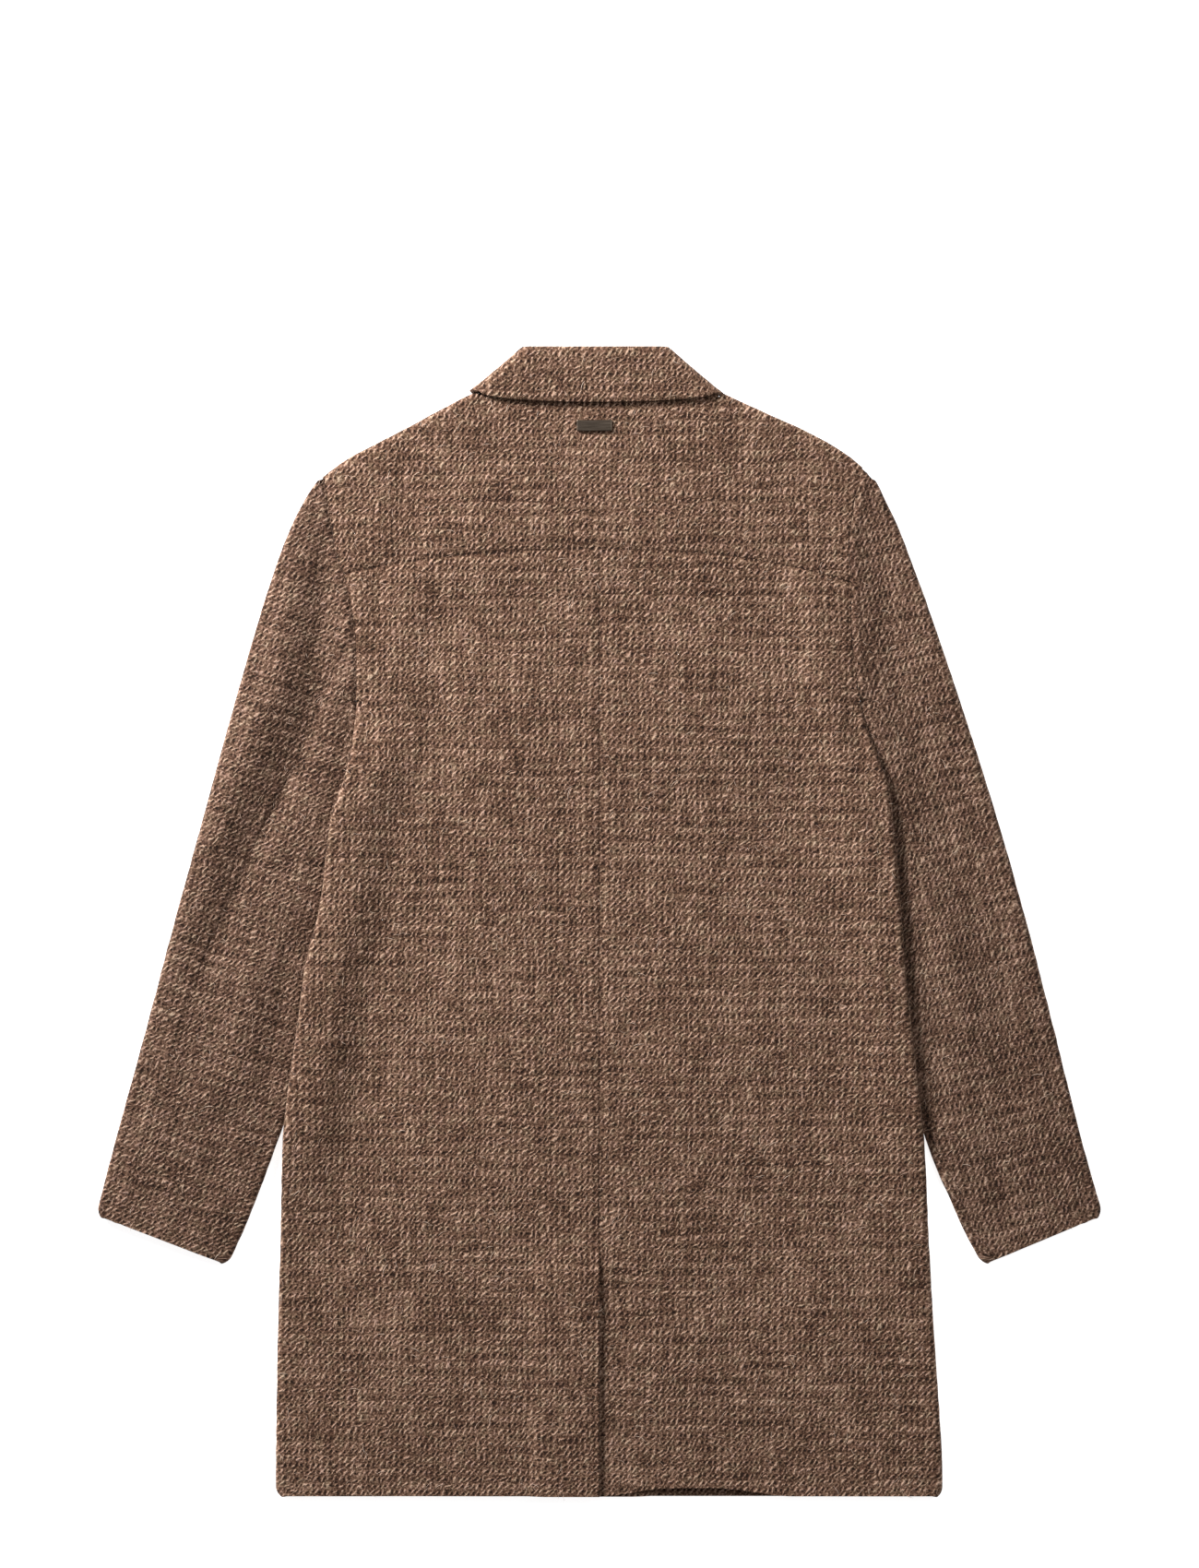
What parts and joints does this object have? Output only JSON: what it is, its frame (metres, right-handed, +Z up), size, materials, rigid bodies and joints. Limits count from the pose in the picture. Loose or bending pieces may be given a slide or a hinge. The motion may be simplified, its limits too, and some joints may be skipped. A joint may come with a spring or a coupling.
{
  "type": "tweed coat laid flat",
  "caption": "Collared car coat in tweed laid flat on its front, with a back yoke, centre back seam, centre vent and two-piece sleeves folded down beside the body",
  "frame": {"origin": "centre of the coat's outline, on the surface that it lies on", "axes": "+X to the right of the back view, +Y towards the collar, +Z up out of the coat's back"},
  "size_m": [0.8273, 0.9482, 0.0187],
  "materials": {
    "tweed_body": "matt brown melange tweed with slubs",
    "tweed_sleeve": "matt brown melange tweed with slubs, darker",
    "gunmetal": "satin gunmetal plating"
  },
  "bodies": {
    "root": {"yoke": "tweed_body", "back_left": "tweed_body", "back_right": "tweed_body", "front_left": "tweed_body", "front_right": "tweed_body", "sleeve_left_top": "tweed_sleeve", "sleeve_left_under": "tweed_sleeve", "sleeve_right_top": "tweed_sleeve", "sleeve_right_under": "tweed_sleeve", "collar_fall": "tweed_body", "collar_stand": "tweed_body", "yoke_bar": "gunmetal"}
  },
  "joints": []
}
